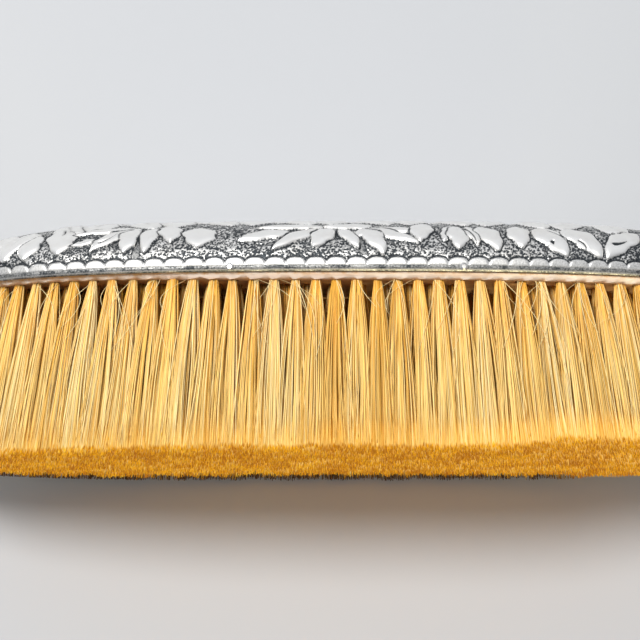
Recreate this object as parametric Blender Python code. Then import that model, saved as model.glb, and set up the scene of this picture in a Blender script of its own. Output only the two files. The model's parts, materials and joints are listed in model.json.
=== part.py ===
"""Silver-backed vanity brush, lying on its side.

The brush is modelled upright: X along its length, Y across its width, and Z from the trimmed
bristle tips (z = 0) up to the crest of the silver back. One empty then lays the whole brush on
a flank, so the back faces +Y, the bristle tips face -Y, and the floor is at z = 0.

The back is a thin silver shell over a pitch filling and a wooden core. Its lower lip is pinned
to a drilled wooden stock, and each ring of bristle tufts is drawn into the stock by one wire.
"""

import math

import bmesh
import bpy
import numpy as np
from mathutils import Matrix, Vector

# Driving dimensions, in metres
HALF_LENGTH = 0.0880
HALF_WIDTH = 0.0285
CREST = 0.0532
OVAL_POWER = 2.4
OVAL_SIDES = 40
GAP = 0.0003

# Silver back: lip, bulge and dome
BACK_LIP = 0.0382
BACK_BULGE = 0.0400
SHEET = 0.0005
LIP_OUTER_INSET = 0.00045
LIP_BEAD_INSET, LIP_BEAD_Z = 0.00010, 0.0389
LIP_INNER_INSET = 0.0012
LIP_FOLD_Z = 0.0388
DOME_POWER = 2.3
DOME_STEPS = 6
CREST_HALF_WIDTH = 0.0030
END_TAPER = 1.2

# Filling, core and stock
PITCH = 0.0011
STOCK_BOTTOM, STOCK_TOP = 0.0360, 0.0410
STOCK_INSET = 0.0015
STOCK_CHAMFER = 0.0012
RECESS_INSET, RECESS_DEPTH = 0.0034, 0.0012

# Bristles: rings of tufts from the outside in, and one straight row along the middle
RING_INSET, RING_STEP = 0.0044, 0.0058
RING_TUFTS = (82, 62, 54, 50)
MIDDLE_HALF_LENGTH, MIDDLE_TUFTS = 0.0565, 21
SPLAY_LENGTH, SPLAY_WIDTH = 1.085, 1.087
MERGE_Z, ROOT_Z = 0.0200, 0.0407
TIP_HALF, MERGE_HALF, ROOT_SCALE = 0.0023, 0.0021, 0.46
HOLE_BOTTOM, HOLE_TOP = STOCK_BOTTOM - 0.001, STOCK_TOP + 0.001

# Draw wires and rim pins
WIRE_RADIUS = 0.0003
PIN_Z = 0.0391
PIN_SIDES = 8
PIN_HEAD_RADIUS, PIN_HEAD_HEIGHT = 0.00095, 0.00035
PIN_SHANK_RADIUS, PIN_SHANK_LENGTH, PIN_POINT = 0.00035, 0.0020, 0.0005
PIN_SEAT = 0.00015
PIN_HOLE_RADIUS = PIN_SHANK_RADIUS + GAP
FLANK_PIN_ANGLE, END_PIN_ANGLE = math.radians(77.0), math.radians(24.0)

SILVER = ("silver", (0.86, 0.85, 0.83), 1.0, 0.28)
PITCH_BLACK = ("pitch", (0.05, 0.04, 0.03), 0.0, 0.75)
CORE_WOOD = ("core_wood", (0.62, 0.42, 0.24), 0.0, 0.60)
STOCK_WOOD = ("stock_wood", (0.86, 0.68, 0.52), 0.0, 0.55)
BRISTLE = ("bristle", (0.83, 0.58, 0.24), 0.0, 0.50)
WIRE_BRASS = ("wire_brass", (0.78, 0.60, 0.28), 1.0, 0.35)


def clear_scene():
    for old in list(bpy.data.objects):
        bpy.data.objects.remove(old, do_unlink=True)


def material(name, colour, metallic, roughness):
    found = bpy.data.materials.get(name) or bpy.data.materials.new(name)
    found.use_nodes = True
    shader = found.node_tree.nodes["Principled BSDF"]
    shader.inputs["Base Color"].default_value = (*colour, 1.0)
    shader.inputs["Metallic"].default_value = metallic
    shader.inputs["Roughness"].default_value = roughness
    return found


def add_object(name, data, frame, finish):
    made = bpy.data.objects.new(name, data)
    bpy.context.scene.collection.objects.link(made)
    made.parent = frame
    if finish and not data.materials:
        data.materials.append(material(*finish))
    return made


def mesh_from(bm, name):
    """A mesh of this name from a closed bmesh, with its faces turned outwards."""
    bmesh.ops.recalc_face_normals(bm, faces=bm.faces)
    mesh = bpy.data.meshes.new(name)
    bm.to_mesh(mesh)
    bm.free()
    mesh.shade_smooth()
    mesh.set_sharp_from_angle(angle=math.radians(35))
    return mesh


def oval_point(half_length, half_width, angle, z=0.0):
    """A point of the brush's outline family, fuller at its corners than an ellipse."""
    c, s = math.cos(angle), math.sin(angle)
    x = half_length * math.copysign(abs(c) ** (2 / OVAL_POWER), c)
    y = half_width * math.copysign(abs(s) ** (2 / OVAL_POWER), s)
    return Vector((x, y, z))


def oval_ring(inset, z, extra_length=0.0):
    """The outline moved in by inset. Its points leave a flat facet in the middle of each flank."""
    turns = [(i + 0.5) * 2 * math.pi / OVAL_SIDES for i in range(OVAL_SIDES)]
    length = HALF_LENGTH - inset - extra_length
    return [oval_point(length, HALF_WIDTH - inset, turn, z) for turn in turns]


def loft(name, rings):
    """A closed body through a run of rings of equal size, with its two end rings filled."""
    bm = bmesh.new()
    loops = [[bm.verts.new(point) for point in ring] for ring in rings]
    for low, high in zip(loops, loops[1:]):
        for i in range(len(low)):
            j = (i + 1) % len(low)
            bm.faces.new((low[i], low[j], high[j], high[i]))
    bm.faces.new(loops[0])
    bm.faces.new(loops[-1])
    return mesh_from(bm, name)


def dome_rings(offset, start_z=BACK_BULGE):
    """Rings from start_z to the crest of the dome that lies offset inside the silver's face."""
    width, rise = HALF_WIDTH - offset, CREST - BACK_BULGE - offset
    start = math.asin(((start_z - BACK_BULGE) / rise) ** (DOME_POWER / 2))
    end = math.acos((CREST_HALF_WIDTH / width) ** (DOME_POWER / 2))
    turns = [start] + [end * step / DOME_STEPS for step in range(1, DOME_STEPS + 1)]
    rings = []
    for turn in turns:
        half_width = width * math.cos(turn) ** (2 / DOME_POWER)
        z = BACK_BULGE + rise * math.sin(turn) ** (2 / DOME_POWER)
        taper = (END_TAPER - 1) * (width - half_width)
        rings.append(oval_ring(HALF_WIDTH - half_width, z, taper))
    return rings


def silver_back(frame):
    outside = [oval_ring(LIP_OUTER_INSET, BACK_LIP), oval_ring(LIP_BEAD_INSET, LIP_BEAD_Z)]
    outside += dome_rings(0.0)
    inside = [oval_ring(LIP_INNER_INSET, BACK_LIP), oval_ring(LIP_INNER_INSET, LIP_FOLD_Z)]
    inside += dome_rings(SHEET)
    mesh = loft("silver_back", inside[::-1] + outside)
    return add_object("silver_back", mesh, frame, SILVER)


def pitch_fill(frame):
    outside = dome_rings(SHEET + GAP, STOCK_TOP + GAP)
    inside = dome_rings(SHEET + GAP + PITCH, STOCK_TOP + GAP)
    mesh = loft("pitch_fill", inside[::-1] + outside)
    return add_object("pitch_fill", mesh, frame, PITCH_BLACK)


def core_board(frame):
    """The domed wooden core, recessed underneath to clear the draw wires."""
    floor = STOCK_TOP + GAP
    recess = [oval_ring(RECESS_INSET, floor + RECESS_DEPTH), oval_ring(RECESS_INSET, floor)]
    mesh = loft("core_board", recess + dome_rings(SHEET + PITCH + 2 * GAP, floor))
    return add_object("core_board", mesh, frame, CORE_WOOD)


def bristle_stock(frame):
    """The wooden board that the tufts are drawn into, with a chamfer round its lower edge."""
    chamfered = STOCK_INSET + STOCK_CHAMFER
    rings = [
        oval_ring(chamfered, STOCK_BOTTOM),
        oval_ring(STOCK_INSET, STOCK_BOTTOM + STOCK_CHAMFER),
        oval_ring(STOCK_INSET, STOCK_TOP),
    ]
    return add_object("bristle_stock", loft("bristle_stock", rings), frame, STOCK_WOOD)


def splay(z):
    """How far a row spreads in length and width at height z: 1 where it leaves the stock."""
    share = 1 - z / STOCK_BOTTOM
    return 1 + (SPLAY_LENGTH - 1) * share, 1 + (SPLAY_WIDTH - 1) * share


def ring_axes(ring, z):
    """The half length and half width of a ring's centre line at height z."""
    inset = RING_INSET + ring * RING_STEP
    along, across = splay(z)
    return (HALF_LENGTH - STOCK_INSET - inset) * along, (HALF_WIDTH - inset) * across


def even_angles(ring, count, shift):
    """Angles that divide a ring's centre line at the stock into stretches of one length."""
    turns = np.linspace(0, 2 * math.pi, 7201)
    half_length, half_width = ring_axes(ring, STOCK_BOTTOM)
    points = np.array([oval_point(half_length, half_width, turn)[:2] for turn in turns])
    steps = np.linalg.norm(np.diff(points, axis=0), axis=1)
    along = np.concatenate([[0.0], np.cumsum(steps)])
    shares = (np.arange(count) + shift) / count % 1.0
    return np.interp(shares * along[-1], along, turns)


class Row:
    """One row of tufts: the cuts between them, and each tuft's four corners at a height."""

    def __init__(self, ring):
        self.closed = ring is not None
        self.ring = ring
        self.tufts = RING_TUFTS[ring] if self.closed else MIDDLE_TUFTS
        if self.closed:
            self.cuts = even_angles(ring, self.tufts, -0.5)
            self.centres = even_angles(ring, self.tufts, 0.0)
        else:
            self.pitch = 2 * MIDDLE_HALF_LENGTH / self.tufts

    def cut(self, index, half, z):
        """The inner and outer point of the cut before a tuft, half a row's thickness apart."""
        if self.closed:
            length, width = ring_axes(self.ring, z)
            turn = self.cuts[index % self.tufts]
            return tuple(oval_point(length + s, width + s, turn, z) for s in (-half, half))
        x = (index * self.pitch - MIDDLE_HALF_LENGTH) * splay(z)[0]
        return Vector((x, -half, z)), Vector((x, half, z))

    def centre(self, index, z):
        if self.closed:
            length, width = ring_axes(self.ring, z)
            return oval_point(length, width, self.centres[index], z)
        x = ((index + 0.5) * self.pitch - MIDDLE_HALF_LENGTH) * splay(z)[0]
        return Vector((x, 0, z))

    def merge(self, index):
        """The corners where the tuft meets its neighbours."""
        inner, outer = self.cut(index, MERGE_HALF, MERGE_Z)
        next_inner, next_outer = self.cut(index + 1, MERGE_HALF, MERGE_Z)
        return [inner, outer, next_outer, next_inner]

    def root(self, index):
        """The corners where the tuft ends in the stock: its merged shape made smaller."""
        base = self.merge(index)
        middle = sum(base, Vector()) / 4
        return [self.centre(index, ROOT_Z) + (corner - middle) * ROOT_SCALE for corner in base]

    def hole(self, index, z):
        """The tuft's corners at height z, moved out by the gap to its hole."""
        share = (z - MERGE_Z) / (ROOT_Z - MERGE_Z)
        corners = [a.lerp(b, share) for a, b in zip(self.merge(index), self.root(index))]
        return grown(corners, GAP)


def grown(corners, gap):
    """A flat convex polygon with every side moved out by the gap."""
    middle = sum(corners, Vector()) / len(corners)
    moved = []
    for before, corner, after in zip(corners[-1:] + corners[:-1], corners, corners[1:] + corners[:1]):
        outs = []
        for side in (corner - before, after - corner):
            out = Vector((side.y, -side.x, 0)).normalized()
            outs.append(out if out.dot(corner - middle) > 0 else -out)
        moved.append(corner + (outs[0] + outs[1]) * gap / (1 + outs[0].dot(outs[1])))
    return moved


def bristle_row(name, row, frame):
    """Tufts that taper up into the stock and merge into one brush face at their tips."""
    bm = bmesh.new()
    ends = row.tufts if row.closed else row.tufts + 1
    tips = [[bm.verts.new(p) for p in row.cut(i, TIP_HALF, 0.0)] for i in range(ends)]
    merged = [[bm.verts.new(p) for p in row.cut(i, MERGE_HALF, MERGE_Z)] for i in range(ends)]
    for i in range(row.tufts):
        j = (i + 1) % ends
        (t0, t1), (t3, t2) = tips[i], tips[j]
        (m0, m1), (m3, m2) = merged[i], merged[j]
        bm.faces.new((t0, t1, t2, t3))
        bm.faces.new((t0, m0, m3, t3))
        bm.faces.new((t1, m1, m2, t2))
        base = (m0, m1, m2, m3)
        root = [bm.verts.new(point) for point in row.root(i)]
        for a in range(4):
            b = (a + 1) % 4
            bm.faces.new((base[a], base[b], root[b], root[a]))
        bm.faces.new(root)
    if not row.closed:
        for tip, joined in ((tips[0], merged[0]), (tips[-1], merged[-1])):
            bm.faces.new((tip[0], tip[1], joined[1], joined[0]))
    return add_object(name, mesh_from(bm, name), frame, BRISTLE)


def prism(bm, low, high):
    """A closed body between two polygons with the same number of corners."""
    bottom, top = [bm.verts.new(p) for p in low], [bm.verts.new(p) for p in high]
    for i in range(len(bottom)):
        j = (i + 1) % len(bottom)
        bm.faces.new((bottom[i], bottom[j], top[j], top[i]))
    bm.faces.new(bottom)
    bm.faces.new(top)


def cut_with(target, cutter):
    cutter.hide_render = True
    cutter.display_type = "WIRE"
    cut = target.modifiers.new(cutter.name, "BOOLEAN")
    cut.operation = "DIFFERENCE"
    cut.object = cutter


def tuft_holes(rows, frame):
    bm = bmesh.new()
    for row in rows:
        for i in range(row.tufts):
            prism(bm, row.hole(i, HOLE_BOTTOM), row.hole(i, HOLE_TOP))
    return add_object("tuft_hole_cutter", mesh_from(bm, "tuft_hole_cutter"), frame, None)


def draw_wire(name, row, frame):
    """The wire that holds one row's folded tufts, lying on top of the stock."""
    curve = bpy.data.curves.new(name, "CURVE")
    curve.dimensions = "3D"
    curve.bevel_depth = WIRE_RADIUS
    curve.bevel_resolution = 0
    curve.use_fill_caps = True
    z = STOCK_TOP + GAP + WIRE_RADIUS
    if row.closed:
        length, width = ring_axes(row.ring, z)
        turns = [(i + 0.5) * 2 * math.pi / OVAL_SIDES for i in range(OVAL_SIDES)]
        points = [oval_point(length, width, turn, z) for turn in turns]
    else:
        points = [row.centre(0, z), row.centre(row.tufts - 1, z)]
    spline = curve.splines.new("POLY")
    spline.points.add(len(points) - 1)
    for place, point in zip(spline.points, points):
        place.co = (*point, 1.0)
    spline.use_cyclic_u = row.closed
    return add_object(name, curve, frame, WIRE_BRASS)


def turned_ring(radius, z):
    turns = [(i + 0.5) * 2 * math.pi / PIN_SIDES for i in range(PIN_SIDES)]
    return [Vector((radius * math.cos(turn), radius * math.sin(turn), z)) for turn in turns]


def pin_mesh():
    """A small domed nail along Z: its head stands above z = 0 and its shank points down."""
    rings = [
        turned_ring(PIN_SHANK_RADIUS / 3, -PIN_SHANK_LENGTH),
        turned_ring(PIN_SHANK_RADIUS, PIN_POINT - PIN_SHANK_LENGTH),
        turned_ring(PIN_SHANK_RADIUS, PIN_SEAT),
        turned_ring(PIN_HEAD_RADIUS, PIN_SEAT),
        turned_ring(PIN_HEAD_RADIUS / 2, PIN_SEAT + PIN_HEAD_HEIGHT),
    ]
    return loft("rim_pin", rings)


def pin_places():
    """Each pin's place on the lip, turned so that its own Z points out of the brush."""
    for angle in (FLANK_PIN_ANGLE, END_PIN_ANGLE):
        for turn in (angle, math.pi - angle, math.pi + angle, -angle):
            near = [oval_point(HALF_LENGTH, HALF_WIDTH, turn + s, PIN_Z) for s in (-0.01, 0.01)]
            along = (near[1] - near[0]).normalized()
            out = Vector((along.y, -along.x, 0))
            turned = out.to_track_quat("Z", "Y").to_matrix().to_4x4()
            yield Matrix.Translation(oval_point(HALF_LENGTH, HALF_WIDTH, turn, PIN_Z)) @ turned


def rim_pins(back, stock, frame):
    shared = pin_mesh()
    bm = bmesh.new()
    bottom, top = -PIN_SHANK_LENGTH - GAP, PIN_HEAD_HEIGHT + GAP
    for number, place in enumerate(pin_places(), start=1):
        pin = add_object(f"rim_pin_{number}", shared, frame, SILVER)
        pin.matrix_basis = place
        hole = [[place @ p for p in turned_ring(PIN_HOLE_RADIUS, z)] for z in (bottom, top)]
        prism(bm, *hole)
    cutter = add_object("pin_hole_cutter", mesh_from(bm, "pin_hole_cutter"), frame, None)
    cut_with(back, cutter)
    cut_with(stock, cutter)


def lying_frame():
    """An empty that lays the upright brush on its flank, centred over the origin."""
    frame = bpy.data.objects.new("lying_frame", None)
    bpy.context.scene.collection.objects.link(frame)
    frame.rotation_euler = (-math.pi / 2, 0, 0)
    frame.location = (0, -CREST / 2, HALF_WIDTH)
    return frame


def build():
    clear_scene()
    frame = lying_frame()
    back = silver_back(frame)
    pitch_fill(frame)
    core_board(frame)
    stock = bristle_stock(frame)
    rows = [Row(ring) for ring in range(len(RING_TUFTS))] + [Row(None)]
    for number, row in enumerate(rows, start=1):
        bristle_row(f"bristle_row_{number}", row, frame)
        draw_wire(f"draw_wire_{number}", row, frame)
    cut_with(stock, tuft_holes(rows, frame))
    rim_pins(back, stock, frame)


build()
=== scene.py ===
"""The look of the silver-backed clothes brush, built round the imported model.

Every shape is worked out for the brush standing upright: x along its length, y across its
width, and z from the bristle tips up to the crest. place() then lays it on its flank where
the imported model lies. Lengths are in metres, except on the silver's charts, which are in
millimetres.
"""

import json
import math

import bpy
import numpy as np
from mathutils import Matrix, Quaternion, Vector
from mathutils.geometry import delaunay_2d_cdt

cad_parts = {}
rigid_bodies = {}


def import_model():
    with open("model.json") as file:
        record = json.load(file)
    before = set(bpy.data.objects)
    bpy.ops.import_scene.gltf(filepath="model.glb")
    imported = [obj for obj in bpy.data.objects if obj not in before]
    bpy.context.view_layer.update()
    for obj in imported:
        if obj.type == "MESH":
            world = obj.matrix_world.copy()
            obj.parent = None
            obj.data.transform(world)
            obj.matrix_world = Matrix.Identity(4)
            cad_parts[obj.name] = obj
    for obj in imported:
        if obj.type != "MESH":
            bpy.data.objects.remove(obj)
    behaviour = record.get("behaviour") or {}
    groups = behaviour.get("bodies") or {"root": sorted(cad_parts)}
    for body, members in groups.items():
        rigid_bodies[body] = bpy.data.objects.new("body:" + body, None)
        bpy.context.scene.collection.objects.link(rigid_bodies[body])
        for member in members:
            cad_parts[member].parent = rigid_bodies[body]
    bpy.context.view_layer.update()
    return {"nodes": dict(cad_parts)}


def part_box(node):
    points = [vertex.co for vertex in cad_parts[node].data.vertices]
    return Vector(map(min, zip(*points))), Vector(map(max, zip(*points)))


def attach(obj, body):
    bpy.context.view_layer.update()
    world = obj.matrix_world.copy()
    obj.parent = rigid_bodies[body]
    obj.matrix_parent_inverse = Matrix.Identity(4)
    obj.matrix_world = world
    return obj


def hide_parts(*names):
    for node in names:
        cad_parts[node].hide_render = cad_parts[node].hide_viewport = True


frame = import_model()

MM = 0.001
TURN = 2 * math.pi

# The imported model's own places
SILVER_LOW, SILVER_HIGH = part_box("silver_back")
STOCK_LOW, STOCK_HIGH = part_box("bristle_stock")
TIPS_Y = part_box("bristle_row_1")[0][1]
HALF_WIDTH = (SILVER_LOW[2] + SILVER_HIGH[2]) / 2
HALF_LENGTH = SILVER_HIGH[0]
CREST = SILVER_HIGH[1] - TIPS_Y
LIP = SILVER_LOW[1] - TIPS_Y
STOCK_BOTTOM, STOCK_TOP = STOCK_LOW[1] - TIPS_Y, STOCK_HIGH[1] - TIPS_Y
WORN_BOTTOM = STOCK_BOTTOM + 0.0008
CROOKED, CROOKED_RUN = 0.0008, 0.060

# Outline and section, as the CAD has them
OVAL_POWER = 2.4
DOME_POWER = 2.3
END_TAPER = 1.2
BULGE = LIP + 0.0018
LIP_ROUND = 0.0008
SHEET = 0.0007

# Bristle rows, as the CAD has them
STOCK_INSET, STOCK_CHAMFER = 0.0015, 0.0012
RING_INSET, RING_STEP = 0.0044, 0.0058
RING_TUFTS = (82, 62, 54, 50)
MIDDLE_HALF_LENGTH, MIDDLE_TUFTS = 0.0565, 21
SPLAY_LENGTH, SPLAY_WIDTH = 1.085, 1.087

# Fineness of the silver's grid
SILVER_STEP = 0.215 * MM
LIP_STEPS, INNER_ROWS = 200, 14
RIDGE_HALF = 0.12 * MM

# Relief of the silver: its leaves, the punched ground between them, and its slow unevenness
LEAF_TOP, LEAF_RISE = 0.25 * MM, 0.62 * MM
OVERLAP_RISE = 0.12 * MM
LOBES = 0.10
OUTLINE_DEPTH, VEIN_DEPTH, RIB_DEPTH, SLOT_DEPTH = 0.16 * MM, 0.16 * MM, 0.12 * MM, 0.38 * MM
VEIN_SHADE, RIB_SHADE = 0.42, 0.36
DIMPLE_PITCH, DIMPLE_DEPTH = 0.66, 0.10 * MM
GROUND_SHADE, DIMPLE_SHADE, WORN_SHADE = 0.43, 0.40, 0.30
UNEVEN, UNEVEN_SIZE = 0.05 * MM, 6.0

# The rim's scallops, band and groove, in millimetres up from the lip
SCALLOP_PITCH = 4.35
RIM_TOP = 5.0
CUSP, SCALLOP_RISE = 2.25, 1.25
BAND_TOP, GROOVE = 2.1, 1.45


def place(points):
    """Upright points, as an array of rows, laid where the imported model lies."""
    points = np.asarray(points, float)
    x, y, z = points[..., 0], points[..., 1], points[..., 2]
    return np.stack([x, TIPS_Y + z, HALF_WIDTH - y], axis=-1)


def smooth(x):
    x = np.clip(x, 0, 1)
    return x * x * (3 - 2 * x)


def new_object(name, data):
    made = bpy.data.objects.new(name, data)
    bpy.context.scene.collection.objects.link(made)
    return made


def new_mesh(name, vertices, quads=(), triangles=(), colours=None):
    """A smooth-shaded object from upright vertices, with a colour attribute if one is given."""
    mesh = bpy.data.meshes.new(name)
    quads = np.asarray(quads, np.int32).reshape(-1, 4)
    triangles = np.asarray(triangles, np.int32).reshape(-1, 3)
    corners = np.concatenate([quads.ravel(), triangles.ravel()])
    sizes = np.concatenate([np.full(len(quads), 4), np.full(len(triangles), 3)])
    starts = np.concatenate([[0], np.cumsum(sizes)[:-1]])
    mesh.vertices.add(len(vertices))
    mesh.vertices.foreach_set("co", place(vertices).astype(np.float32).ravel())
    mesh.loops.add(len(corners))
    mesh.loops.foreach_set("vertex_index", corners.astype(np.int32))
    mesh.polygons.add(len(sizes))
    mesh.polygons.foreach_set("loop_start", starts.astype(np.int32))
    mesh.update(calc_edges=True)
    mesh.validate()
    mesh.shade_smooth()
    if colours is not None:
        layer = mesh.attributes.new("tone", "FLOAT_COLOR", "POINT")
        rgba = np.column_stack([colours, np.ones(len(vertices))])
        layer.data.foreach_set("color", rgba.astype(np.float32).ravel())
    return new_object(name, mesh)


# ---- outline and section


def oval_unit(turn):
    """A point of the outline for half axes of 1, fuller at its corners than an ellipse."""
    c, s = np.cos(turn), np.sin(turn)
    power = 2 / OVAL_POWER
    return np.sign(c) * np.abs(c) ** power, np.sign(s) * np.abs(s) ** power


def arc_turns(turns, half_length, half_width, shares):
    """The turns at shares of the arc that an oval's turns span, and the arc's length."""
    x, y = oval_unit(turns)
    steps = np.hypot(np.diff(x * half_length), np.diff(y * half_width))
    along = np.concatenate([[0.0], np.cumsum(steps)])
    return np.interp(shares * along[-1], along, turns), along[-1]


def quarter_turns(count):
    """Turns that divide a quarter of the oval, from its flank to its end, into equal arcs."""
    turns = np.linspace(math.pi / 2, 0, 6000)
    return arc_turns(turns, HALF_LENGTH, HALF_WIDTH, np.linspace(0, 1, count + 1))


def section():
    """The silver's face in section: half width, height and developed length from the lip."""
    lip = np.linspace(0, math.pi / 2, LIP_STEPS)
    dome = np.linspace(0, math.pi / 2, 4000)[1:]
    power = 2 / DOME_POWER
    width = np.concatenate(
        [HALF_WIDTH - LIP_ROUND * (1 - np.sin(lip)), HALF_WIDTH * np.cos(dome) ** power]
    )
    height = np.concatenate(
        [LIP + (BULGE - LIP) * (1 - np.cos(lip)), BULGE + (CREST - BULGE) * np.sin(dome) ** power]
    )
    run = np.concatenate([[0.0], np.cumsum(np.hypot(np.diff(width), np.diff(height)))])
    return width, height, run


def level_length(width, height):
    """The half length of the level ring of a half width; the ends slope more than the flanks."""
    taper = np.where(height > BULGE, END_TAPER, 1.0)
    return HALF_LENGTH - (HALF_WIDTH - width) * taper


# ---- relief


def hashed(ix, iy, iz, salt):
    """A repeatable number from 0 to 1 for each cell."""
    mixed = ix * 73856093 ^ iy * 19349663 ^ iz * 83492791 ^ salt * 2654435761
    mixed = (mixed ^ (mixed >> 13)) * 1274126177
    return ((mixed ^ (mixed >> 16)) & 0xFFFF) / 65535.0


def cell_distance(points, size):
    """The distance from each point to the nearest of a jittered grid's seeds, in cells."""
    scaled = points / size
    base = np.floor(scaled).astype(np.int64)
    best = np.full(len(points), 9.0)
    for ox in (-1, 0, 1):
        for oy in (-1, 0, 1):
            for oz in (-1, 0, 1):
                cell = base + np.array([ox, oy, oz])
                ix, iy, iz = cell[:, 0], cell[:, 1], cell[:, 2]
                seed = np.stack([hashed(ix, iy, iz, salt) for salt in (1, 2, 3)], axis=-1)
                gap = ((cell + seed - scaled) ** 2).sum(axis=1)
                best = np.minimum(best, gap)
    return np.sqrt(best)


def value_noise(points, size, salt):
    """Smooth noise from 0 to 1 whose lumps are about size wide."""
    scaled = points / size
    base = np.floor(scaled).astype(np.int64)
    share = smooth(scaled - base)
    total = np.zeros(len(points))
    for corner in range(8):
        step = np.array([corner & 1, corner >> 1 & 1, corner >> 2 & 1])
        cell = base + step
        weight = np.prod(np.where(step == 1, share, 1 - share), axis=1)
        total += weight * hashed(cell[:, 0], cell[:, 1], cell[:, 2], salt)
    return total


class Relief:
    """Height, tarnish and punching over the silver's grid, whose points are in millimetres; on the
    rim the tarnish also carries painted shade and a painted highlight.
    """

    def __init__(self, points):
        self.points = points.reshape(-1, 3) * 1000
        self.height, self.tarnish, self.punched = np.zeros((3, len(self.points)))

    def ground(self, where):
        """Punched ground: close dark dimples with rubbed ridges between them."""
        spots = self.points[where]
        gap = cell_distance(spots, DIMPLE_PITCH)
        worn = value_noise(spots, 2.2, 11)
        dimple = smooth((0.62 - gap) / 0.34)
        self.height[where] -= DIMPLE_DEPTH * dimple
        self.tarnish[where] = GROUND_SHADE + DIMPLE_SHADE * dimple + WORN_SHADE * (worn - 0.5)
        self.punched[where] = 1.0


class Chart:
    """Flat coordinates, in millimetres, over one stretch of the silver."""

    def __init__(self, relief, u, v, inside):
        self.relief = relief
        self.ids = np.flatnonzero(inside.ravel())
        self.u, self.v = u.ravel()[self.ids], v.ravel()[self.ids]

    def near(self, start, end, reach):
        """Which points lie within reach of the box from start to end."""
        inside = np.ones(len(self.ids), bool)
        for values, a, b in ((self.u, start[0], end[0]), (self.v, start[1], end[1])):
            inside &= (values > min(a, b) - reach) & (values < max(a, b) + reach)
        return np.flatnonzero(inside)

    def local(self, pick, start, end, bend):
        """Shares along the line from start to end, and distances across its bent middle."""
        du, dv = end[0] - start[0], end[1] - start[1]
        run = math.hypot(du, dv)
        u, v = self.u[pick] - start[0], self.v[pick] - start[1]
        along = (u * du + v * dv) / run**2
        across = (v * du - u * dv) / run - bend * 4 * along * (1 - along)
        return along, across, run

    def leaf(self, base, tip, half, bend=0.0, blunt=0.64, veins=1, rise=1.0, lobes=0.0):
        """A plump leaf from its base to its tip, outlined in dark and laid over what is there.

        veins is 0 for none, 1 for a middle vein, and 2 for a rib to each side as well. lobes is
        the share by which its outline waves in and out.
        """
        pick = self.near(base, tip, half + abs(bend) + 1.0)
        along, across, run = self.local(pick, base, tip, bend)
        share = np.clip(along, 0, 1)
        width = half * np.sin(math.pi * share**0.72) ** blunt
        side = np.clip(across / (0.5 * half), -1, 1)
        phase = 0.37 * base[0] + 0.11 * base[1] + 0.21 * side
        width *= 1 + lobes * np.sin(TURN * (2.3 * share + phase))
        past = np.maximum(np.abs(along - 0.5) - 0.5, 0) * run
        inner = np.where(past > 0, -np.hypot(past, across), width - np.abs(across))
        ids = self.ids[pick]
        height, tarnish = self.relief.height, self.relief.tarnish
        broken = 0.45 + 0.75 * value_noise(self.relief.points[ids], 1.1, 21)
        edge = smooth((inner + 0.56) / 0.3) * smooth((0.20 - inner) / 0.3) * broken
        height[ids] -= OUTLINE_DEPTH * edge
        tarnish[ids] = np.maximum(tarnish[ids], edge)
        pillow = np.sqrt(1 - (1 - np.clip(inner / (0.62 * half), 0, 1)) ** 2)
        top = LEAF_RISE * rise * pillow * (0.86 + 0.14 * share)
        crease = np.zeros(len(ids))
        if veins:
            ends = smooth(share / 0.12) * smooth((0.74 - share) / 0.3)
            vein = smooth(1 - np.abs(across) / 0.34) * ends
            top -= VEIN_DEPTH * vein * smooth(inner / 0.6)
            crease = np.maximum(crease, VEIN_SHADE * vein * smooth(inner / 0.5))
        if veins > 1:
            for side in (-1, 1):
                rib = across * side - 0.9 * half * (share - 0.18)
                groove = smooth(1 - np.abs(rib) / 0.28) * smooth((across * side) / 0.3)
                top -= RIB_DEPTH * groove * smooth(inner / 0.7)
                crease = np.maximum(crease, RIB_SHADE * groove * smooth(inner / 0.7))
        inside = inner > 0
        lifted = np.minimum(np.maximum(height[ids], 0) * 0.35 + top, LEAF_RISE + OVERLAP_RISE)
        height[ids] = np.where(inside, lifted, height[ids])
        clean = smooth(inner / 0.22)
        tarnish[ids] = tarnish[ids] * (1 - clean) + crease * clean
        self.relief.punched[ids] *= 1 - clean

    def slot(self, start, end, half, bend):
        """A dark comma-shaped cut, broad at its start and fine at its end."""
        pick = self.near(start, end, half + abs(bend) + 0.4)
        along, across, run = self.local(pick, start, end, bend)
        share = np.clip(along, 0, 1)
        past = np.maximum(np.abs(along - 0.5) - 0.5, 0) * run
        inner = half * (1 - 0.75 * share) - np.hypot(past, across)
        cut = smooth((inner + 0.12) / 0.3)
        ids = self.ids[pick]
        self.relief.height[ids] -= SLOT_DEPTH * cut
        self.relief.tarnish[ids] = np.maximum(self.relief.tarnish[ids], cut)

    def rosette(self, centre, petals, reach, half, turn=0.0, heart=1.5, veins=2):
        """A ring of petals round a small domed heart."""
        cu, cv = centre
        for i in range(petals):
            angle = turn + i * TURN / petals
            c, s = math.cos(angle), math.sin(angle)
            base = (cu + 0.16 * reach * c, cv + 0.16 * reach * s)
            self.leaf(base, (cu + reach * c, cv + reach * s), half, veins=veins)
        self.leaf((cu - heart, cv), (cu + heart, cv), heart, blunt=0.5, veins=0, rise=1.15)


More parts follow.
